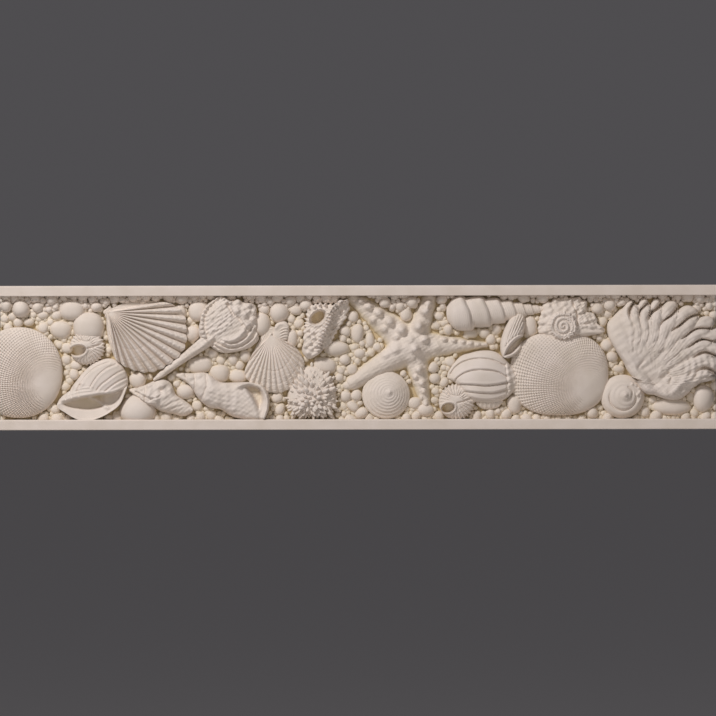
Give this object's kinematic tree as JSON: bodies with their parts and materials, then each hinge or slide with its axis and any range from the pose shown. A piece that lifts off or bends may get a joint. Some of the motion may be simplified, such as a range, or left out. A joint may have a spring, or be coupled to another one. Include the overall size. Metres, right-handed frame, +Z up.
{
  "type": "decorative shell moulding",
  "caption": "Straight cast plaster moulding length: two plain flat rails frame a deep relief of sea shells, coral and a starfish on a bed of pebbles, with a flat back and square-cut ends.",
  "frame": {"origin": "middle of the flat wall side of the moulding, halfway along its length and halfway up its height", "axes": "+X along the moulding to the right as seen from the front, +Z up, +Y out of the back into the wall, so the carved side faces -Y"},
  "size_m": [0.716, 0.0299, 0.144],
  "materials": {
    "cast_plaster": "matte cream cast plaster, warmer in the deep gaps"
  },
  "bodies": {
    "root": {"shell_moulding": "cast_plaster"}
  },
  "joints": []
}
